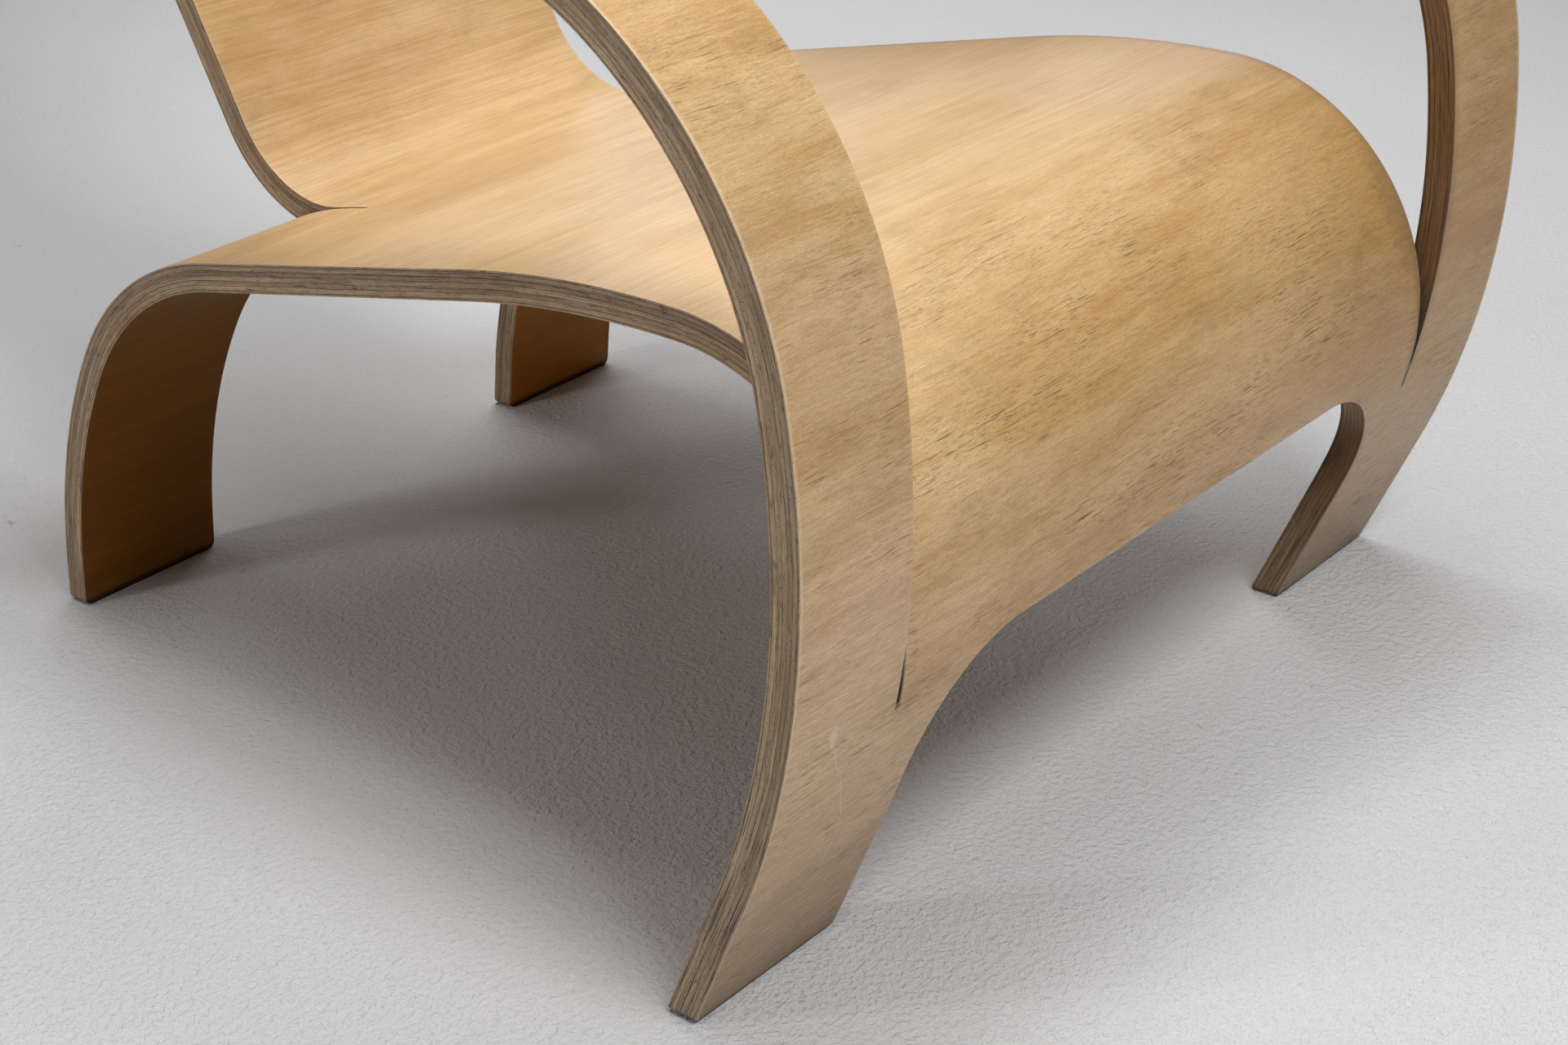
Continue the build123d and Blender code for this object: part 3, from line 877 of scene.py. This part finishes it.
class FaceVeneer:
    """Pale veneer with its grain across the chair, under worn varnish; the under face is darker, in its own
    tone and by painted shade.
    """

    def __init__(self, finish, name, outer, seed):
        self.finish, self.outer, self.seed = finish, outer, seed
        self.material, self.graph = start_material(name)
        self.x, self.run, self.depth = sheet_place(self.graph)
        self.edge = flag(self.graph, "edge") * MILLIMETRES
        self.cut, self.arris, self.strip = (flag(self.graph, kind) for kind in ("cut", "arris", "strip"))
        self.draw_figure()
        self.mark_zones()

    def noise(self, place, across, along, shift, detail=2.0, roughness=0.5):
        """Noise at a place along the sheet, by its wavelengths in millimetres across and along."""
        return self.graph.noise(self.x / across, place / along, self.seed + shift, detail, roughness)

    def draw_figure(self):
        """The wood's figure, from broad clouds to fine fibres."""
        run = self.run
        drift = self.noise(run, 420.0, 170.0, 0.0) - 0.5
        ripple = self.noise(run, 45.0, 30.0, 1.3) - 0.5
        self.along = along = run + drift * 24.0 + ripple * 3.0
        self.ragged = self.noise(run, 5.0, 4.0, 2.2, 4.0, 0.6) * 1.4 - 0.7
        self.broad = self.noise(run, 210.0, 110.0, 3.1, 5.0, 0.6)
        self.patch = self.noise(along, 100.0, 24.0, 5.7, 5.0, 0.64)
        self.streak = self.noise(along, 100.0, 5.5, 7.9, 4.0, 0.62)
        self.cloud = self.noise(run, 30.0, 13.0, 9.4, 5.0, 0.68)
        self.fibre = self.noise(along, 32.0, 2.2, 11.3, 3.0, 0.65)
        self.fine = self.noise(along, 8.5, 0.95, 13.7, 2.0, 0.6)
        self.speckle = self.noise(run, 1.7, 0.9, 15.1, 2.0, 0.7)
        self.lines = self.graph.ease(self.fibre * 0.45 + self.fine * 0.55, 0.38, 0.62)

    def mark_zones(self):
        """Zones of the sheet that age and use have treated alike, and the right side, where painted shade
        falls.
        """
        graph, x, run = self.graph, self.x, self.run
        self.on_arm = 1 - graph.ease(abs(self.strip - ARM), 0.2, 0.6)
        self.off_arm = 1 - self.on_arm
        # painted shade: the veneer darkens and turns amber towards the right, away from the lamps on the left
        self.right = graph.ease(x + (self.broad - 0.5) * 160.0, 40.0, 270.0)
        self.sat_on = graph.ease(run, 290.0, 400.0) * self.off_arm
        self.rough = 1 - self.sat_on * 0.55
        self.leaning = graph.ease(run, 620.0, 700.0) * self.off_arm
        self.right_half = graph.ease(x, -80.0, 50.0)
        near_leg = 1 - graph.ease(x, -240.0, -215.0)
        self.low = 1 - graph.ease(run + (self.broad - 0.5) * 110.0 - near_leg * 70.0, 100.0, 260.0)
        self.rubbed = graph.ease(self.broad * 0.7 + self.cloud * 0.3, 0.48, 0.68)

    def varnish(self):
        """Golden veneer, darkened by age in patches and zones and rubbed pale in others; painted shade
        darkens the right, a painted highlight lightens the left of the roll, and painted sheen pales the
        seat's rear left corner and far crest.
        """
        graph, finish, x, run = self.graph, self.finish, self.x, self.run
        # self.right adds a little painted shade in amber here
        aged = self.patch * 0.62 + self.cloud * 0.14 + self.streak * 0.24 + self.right * 0.05
        # painted highlight: less amber on the left of the roll
        left_roll_highlight = (1 - graph.ease(x, -170.0, -50.0)) * graph.band(run, 240.0, 310.0, 410.0, 470.0)
        aged = graph.ease(aged, 0.4, 0.63) * (1 - 0.65 * left_roll_highlight * self.off_arm)
        base = graph.blend(aged * (0.8 - 0.28 * self.sat_on), finish.gold, finish.amber)

        far = graph.ease(x, 60.0, 160.0)
        web = graph.band(run, 150.0, 190.0, 290.0, 360.0) * graph.ease(x, -190.0, -90.0) * self.off_arm
        held = graph.band(run, 270.0, 330.0, 520.0, 600.0) * self.on_arm * (1 - self.right)
        crest = graph.band(run, 330.0, 390.0, 560.0, 650.0) * graph.ease(x, -90.0, 20.0) * (1 - far)
        # painted shade in amber towards the right, and amber on the back, most on its left half
        right_shade_and_back_amber = self.right * 0.35 + self.leaning * (0.36 - 0.34 * self.right_half)
        base = graph.blend(right_shade_and_back_amber + web * 0.44 + held * 0.26 + crest * 0.22, base, finish.amber)

        base = graph.blend(graph.math("MAXIMUM", self.low * 0.72, self.rubbed * 0.35), base, finish.pale)
        # painted sheen on the seat's rear left corner and on the far crest
        corner_sheen = (1 - graph.ease(x, -170.0, -60.0)) * graph.band(run, 500.0, 560.0, 640.0, 720.0)
        crest_sheen = far * graph.band(run, 360.0, 400.0, 450.0, 520.0)
        base = graph.blend((corner_sheen + crest_sheen) * self.off_arm * 0.3, base, finish.pale)
        dirt = graph.ease(self.noise(run, 75.0, 50.0, 16.4, 5.0, 0.75), 0.5, 0.75)
        return graph.blend(dirt * 0.25, base, finish.grime)

    def grain(self, base):
        """Shades the veneer by its fibres, rays and specks, and towards the feet, and darkens the right side
        with painted shade.
        """
        graph = self.graph
        grit = graph.ease(self.speckle, 0.34, 0.66)
        grain = (self.lines - 0.5) * (0.15 + 0.1 * self.low) + (grit - 0.5) * 0.14
        grain = grain + (self.cloud - 0.5) * (0.2 - 0.12 * self.on_arm)
        ray = graph.ease(self.noise(self.along, 170.0, 1.7, 14.2), 0.36, 0.64)
        foot = 1 - graph.ease(self.run + (self.broad - 0.5) * 60.0, 10.0, 100.0)
        value = 1.0 + grain * self.rough + (ray - 0.5) * self.sat_on * 0.12 - self.sat_on * 0.02
        # self.right * 0.1 is painted shade towards the right
        value = value - self.right * 0.1 - foot * 0.3 + self.leaning * self.right_half * 0.06
        shade = graph.vector(value, value * 1.05 - 0.05, value * 1.16 - 0.16)
        return graph.blend(1.0, base, shade, mode="MULTIPLY")

    def pores(self):
        """Dirty pores, long and short, in loose crowds."""
        graph = self.graph
        crowd = graph.ease(self.noise(self.run, 80.0, 32.0, 17.0, 3.0), 0.4, 0.64)
        long = graph.ease(self.noise(self.along, 20.0, 0.7, 19.0, 1.0), 0.66, 0.7)
        short = graph.ease(self.noise(self.along, 6.5, 0.5, 23.0, 1.0), 0.625, 0.68)
        pores = graph.math("MAXIMUM", long * (0.2 + 0.8 * crowd), short * (0.25 + 0.4 * crowd))
        return pores * (1 - 0.8 * self.sat_on - 0.35 * self.on_arm)

    def wear(self, base):
        """Soil at the feet and along the right, and edges that are worn bare and chipped."""
        graph, finish, edge, ragged = self.graph, self.finish, self.edge, self.ragged
        soil = 1 - graph.ease(self.run + ragged * 9.0, 2.0, 20.0)
        base = graph.blend(soil * 0.5, base, finish.grime)
        thin = 1 - graph.ease(edge + ragged * 1.6, 0.5, 2.4)
        outside = graph.ease(abs(self.x), 270.0, 290.0)
        soiled = graph.ease(self.x, 180.0, 215.0) * (1 - outside)
        worn = graph.math("MAXIMUM", thin * finish.wear, self.arris) * (0.2 + 0.75 * outside - 0.1 * soiled)
        base = graph.blend(worn, base, finish.arris_wood)
        rim = 1 - graph.ease(edge + ragged * 2.5, 0.5, 7.0)
        base = graph.blend(rim * soiled * 0.4, base, finish.grime)
        chips = graph.ease(self.noise(self.run, 9.0, 6.0, 31.0, 5.0, 0.75), 0.55, 0.66)
        lip = 1 - graph.ease(edge, 0.3, 1.3)
        return graph.blend(graph.math("MAXIMUM", lip * 0.5, self.arris) * chips * 0.5, base, finish.glue)

    def paint_under_shade(self, base):
        """Darkens the under face, in its own tone and by painted shade, and most of all inside the rear legs
        with painted shade, deeper in the left leg.
        """
        graph, finish = self.graph, self.finish
        on_leg = graph.ease(self.strip, 1.2, 1.8)
        leg_shade = graph.blend(graph.ease(self.x, -90.0, 90.0), finish.left_leg_shade, finish.right_leg_shade)
        return graph.blend(1.0, base, graph.blend(on_leg, finish.under_tone_and_shade, leg_shade), mode="MULTIPLY")

    def build(self):
        """The finished material."""
        graph, finish, cut, upper = self.graph, self.finish, self.cut, self.outer == 0.0
        pores = self.pores()
        base = graph.blend(pores * finish.pore_amount, self.grain(self.varnish()), finish.pore)
        if upper:
            base = leg_marks(graph, finish, self.x, self.run, base, self.ragged)
        base = self.wear(base)
        if not upper:
            base = self.paint_under_shade(base)

        side, side_height = edge_wood(graph, finish, self.x, self.run, self.depth, self.seed, end_grain=True)
        seam = graph.ease(abs(self.depth - self.outer * MILLIMETRES) + self.ragged * 0.3, 0.75, 1.2)
        side = graph.blend(seam * 0.75, side, finish.glue)
        base = graph.blend(cut * (1 - self.arris), base, side)
        base = contact_shadow(graph, finish, base, 3.0 if upper else 6.0, 0.9)
        roughness = 0.4 + 0.1 * self.lines + 0.12 * self.rubbed + 0.2 * pores + 0.24 * cut
        height = self.fibre * 0.3 + self.fine * 0.6 + self.speckle * 0.3 - pores * 0.8
        height = height * self.rough * (1 - cut) + side_height * cut
        extra = {"Specular IOR Level": 0.5 if upper else 0.2}
        return end_material(self.material, graph, base, roughness, height, 0.5, 0.0004, extra)


def inner_ply_material(finish, name, seed, end_grain, level, upper, lower):
    """The cut edge of an inner ply, with the glue that holds it to its neighbours."""
    material, graph = start_material(name)
    x, run, depth = sheet_place(graph)
    base, height = edge_wood(graph, finish, x, run, depth, seed, end_grain, level)
    wander = (graph.noise(run / 14.0, x / 40.0, seed + 2.0, detail=3.0) - 0.5) * 0.35
    gap = graph.math("MINIMUM", depth + wander - upper * MILLIMETRES, lower * MILLIMETRES - depth - wander)
    broken = graph.ease(graph.noise(run / 30.0, x / 50.0, seed + 9.0), 0.3, 0.6)
    glue = (1 - graph.ease(gap, 0.02, 0.3)) * broken
    base = graph.blend(glue * 0.75, base, finish.glue)
    base = contact_shadow(graph, finish, base, 3.0, 0.8)
    return end_material(material, graph, base, 0.66 + 0.2 * height, height - glue * 0.7, 0.7, 0.0005)


class ARMCHAIR_OT_face_veneers(bpy.types.Operator):
    """Makes the upper and under face veneers"""

    bl_idname = "armchair.face_veneers"
    bl_label = "Face veneers"

    def execute(self, context):
        finish, maker = context.scene.armchair_finish, PlyMaker(context.scene)
        sheet, veneer = maker.plan.sheet, context.scene.armchair_sizes.face_veneer
        upper = FaceVeneer(finish, "upper veneer", 0.0, 1.7).build()
        maker.make("upper_face_veneer", "face_veneer", 0.0, veneer, upper, 0.0, rounded=0.0)
        under = FaceVeneer(finish, "under veneer", sheet, 43.1).build()
        maker.make("under_face_veneer", "face_veneer", sheet - veneer, sheet, under, 0.0, rounded=sheet)
        maker.clear()
        return {"FINISHED"}


def stack_plies(context, names, slot, material_name, end_grain):
    """Makes some of the five inner plies, each in its place in the stack."""
    finish, maker = context.scene.armchair_finish, PlyMaker(context.scene)
    sizes = context.scene.armchair_sizes
    for name in names:
        place = list(INNER_PLIES).index(name)
        upper = sizes.face_veneer + place * sizes.inner_ply
        lower = upper + sizes.inner_ply
        wood = inner_ply_material(finish, f"{material_name} {place + 1}", 60.0 + 7.3 * place, end_grain,
                                  INNER_PLIES[name], upper, lower)
        maker.make(name, slot, upper, lower, wood, sizes.edge_relief)
    maker.clear()


class ARMCHAIR_OT_long_grain_plies(bpy.types.Operator):
    """Makes the plies whose grain runs along the sheet"""

    bl_idname = "armchair.long_grain_plies"
    bl_label = "Long-grain plies"

    def execute(self, context):
        names = ("upper_crossband", "centre_ply", "lower_crossband")
        stack_plies(context, names, "long_grain_ply", "long grain", end_grain=False)
        return {"FINISHED"}


class ARMCHAIR_OT_cross_grain_plies(bpy.types.Operator):
    """Makes the inner plies whose grain runs across the sheet"""

    bl_idname = "armchair.cross_grain_plies"
    bl_label = "Cross-grain plies"

    def execute(self, context):
        names = ("upper_inner_ply", "lower_inner_ply")
        stack_plies(context, names, "cross_grain_ply", "cross grain", end_grain=True)
        return {"FINISHED"}


def floor_material(finish):
    """Pale paper with a fine tooth and stray fibres, darkened towards the far left by painted shade; past the
    lamps' reach it glows like the backdrop.
    """
    material, graph = start_material("pale floor")
    place = graph.add("ShaderNodeTexCoord", {}, {}, out="Object")
    x, y, _ = graph.split(place)
    tooth = graph.noise(x / 0.0042, y / 0.0042, 0.0, detail=3.0, roughness=0.64)
    tooth = tooth * (1 - 0.6 * graph.ease(x + y, -0.5, 1.1))
    cloud = graph.noise(x / 0.3, y / 0.3, 3.0, detail=4.0)
    base = graph.blend(cloud, [0.96 * c for c in finish.floor], [1.04 * c for c in finish.floor])
    # painted shade: the floor darkens towards the far left
    base = graph.blend(graph.ease(y - x, 0.2, 1.1) * 0.12, base, (0.0, 0.0, 0.0))
    line = abs(graph.noise(x / 0.011, y / 0.011, 6.0, detail=1.0) - 0.5)
    stray = graph.ease(graph.noise(x / 0.035, y / 0.035, 9.0, detail=1.0), 0.73, 0.78)
    fibres = (1 - graph.ease(line, 0.008, 0.022)) * stray
    base = graph.blend(fibres * 0.35, base, (0.18, 0.18, 0.18))
    away = graph.math("POWER", x * x + y * y, 0.5)
    glow = graph.blend(graph.ease(away, 1.4, 3.3), (0.0, 0.0, 0.0), [c - 0.018 for c in BACKDROP])
    extra = {"Emission Color": glow, "Emission Strength": 1.0}
    return end_material(material, graph, base, 0.9, tooth, 0.95, 0.0036, extra)


# Softboxes round the chair: name, turn from the front and height in degrees, distance, size, power
LAMPS = (
    ("front", 345, 50, 2.4, 0.65, 34.0),
    ("high rear right", 135, 78, 2.4, 0.9, 24.0),
    ("high front left", 315, 78, 2.4, 0.9, 6.5),
    ("left", 250, 27, 2.4, 0.35, 8.8),
    ("left fill", 270, 40, 2.4, 0.8, 1.6),
    ("near left", 240, 65, 1.35, 0.6, 1.2),
    ("right", 105, 60, 2.4, 0.9, 7.5),
    ("rear", 180, 60, 2.4, 0.9, 1.2),
    ("low right", 115, 20, 2.4, 0.7, 2.6),
    ("low rear right", 138, 20, 2.0, 0.6, 3.5),
)


def area_lamp(name, turn, height, distance, size, power):
    """A square softbox aimed at the chair."""
    data = bpy.data.lights.new(name, "AREA")
    data.shape, data.size, data.energy = "SQUARE", size, power
    lamp = bpy.data.objects.new(name, data)
    turn, height, aim = math.radians(turn), math.radians(height), Vector(LAMP_AIM)
    away = Vector((math.sin(turn) * math.cos(height), -math.cos(turn) * math.cos(height), math.sin(height)))
    lamp.location = aim + away * distance
    lamp.rotation_euler = away.to_track_quat("Z", "Y").to_euler()
    bpy.context.scene.collection.objects.link(lamp)


def lay_floor(scene):
    """A wide flat floor."""
    mesh = bpy.data.meshes.new("floor")
    corners = [(-FLOOR_REACH, -FLOOR_REACH, 0), (FLOOR_REACH, -FLOOR_REACH, 0), (FLOOR_REACH, FLOOR_REACH, 0),
               (-FLOOR_REACH, FLOOR_REACH, 0)]
    mesh.from_pydata(corners, [], [(0, 1, 2, 3)])
    floor = bpy.data.objects.new("floor", mesh)
    mesh.materials.append(floor_material(scene.armchair_finish))
    scene.collection.objects.link(floor)


def light_world(scene):
    """A pale backdrop that the camera sees, and a faint light from all round."""
    world = bpy.data.worlds.new("studio")
    scene.world = world
    world.use_nodes = True
    graph = Graph(world.node_tree)
    path = graph.add("ShaderNodeLightPath", {}, {}, out="Is Camera Ray")
    seen = graph.add("ShaderNodeBackground", {}, {"Color": BACKDROP, "Strength": 1.0})
    light = graph.add("ShaderNodeBackground", {}, {"Color": (0.95, 0.97, 1.0), "Strength": 0.03})
    both = graph.add("ShaderNodeMixShader", {}, {0: path, 1: light, 2: seen})
    graph.add("ShaderNodeOutputWorld", {}, {"Surface": both})


def stand_camera(scene):
    """The camera that matches the photograph, from its turn to the right, its dip and its roll."""
    data = bpy.data.cameras.new("camera")
    data.sensor_width, data.lens = 36.0, CAMERA_LENS
    data.shift_x, data.shift_y = CAMERA_SHIFT
    data.clip_start, data.clip_end = 0.05, 100.0
    camera = bpy.data.objects.new("camera", data)
    turn, dip, roll = math.radians(CAMERA_TURN), math.radians(CAMERA_DIP), math.radians(CAMERA_ROLL)
    ahead = Vector((math.sin(turn) * math.cos(dip), math.cos(turn) * math.cos(dip), -math.sin(dip)))
    level = Vector((math.cos(turn), -math.sin(turn), 0.0))
    down = ahead.cross(level)
    right = level * math.cos(roll) + down * math.sin(roll)
    low = down * math.cos(roll) - level * math.sin(roll)
    axes = Matrix((right, -low, -ahead)).transposed().to_4x4()
    camera.matrix_world = Matrix.Translation(CAMERA_PLACE) @ axes
    scene.collection.objects.link(camera)
    scene.camera = camera


class ARMCHAIR_OT_stage(bpy.types.Operator):
    """Makes the floor, the lamps, the world and the camera"""

    bl_idname = "armchair.stage"
    bl_label = "Stage"

    def execute(self, context):
        lay_floor(context.scene)
        for lamp in LAMPS:
            area_lamp(*lamp)
        light_world(context.scene)
        context.scene.view_settings.view_transform = "Standard"
        stand_camera(context.scene)
        return {"FINISHED"}


class ARMCHAIR_PT_panel(bpy.types.Panel):
    """Lists the chair's pieces, sizes and colours"""

    bl_label = "Armchair"
    bl_idname = "ARMCHAIR_PT_panel"
    bl_space_type = "VIEW_3D"
    bl_region_type = "UI"
    bl_category = "Armchair"

    def draw(self, context):
        for operator in OPERATORS:
            self.layout.operator(operator.bl_idname)
        for group in (context.scene.armchair_sizes, context.scene.armchair_finish):
            column = self.layout.column()
            for name in group.bl_rna.properties.keys():
                if name not in ("rna_type", "name"):
                    column.prop(group, name)


OPERATORS = (ARMCHAIR_OT_face_veneers, ARMCHAIR_OT_long_grain_plies, ARMCHAIR_OT_cross_grain_plies,
             ARMCHAIR_OT_stage)
CLASSES = (ArmchairSheetSizes, ArmchairFinish, *OPERATORS, ARMCHAIR_PT_panel)


def register():
    for kind in CLASSES:
        bpy.utils.register_class(kind)
    bpy.types.Scene.armchair_sizes = PointerProperty(type=ArmchairSheetSizes)
    bpy.types.Scene.armchair_finish = PointerProperty(type=ArmchairFinish)


def unregister():
    del bpy.types.Scene.armchair_finish
    del bpy.types.Scene.armchair_sizes
    for kind in reversed(CLASSES):
        bpy.utils.unregister_class(kind)


def main():
    register()
    bpy.ops.armchair.stage()
    bpy.ops.armchair.face_veneers()
    bpy.ops.armchair.long_grain_plies()
    bpy.ops.armchair.cross_grain_plies()


if __name__ == "__main__":
    main()
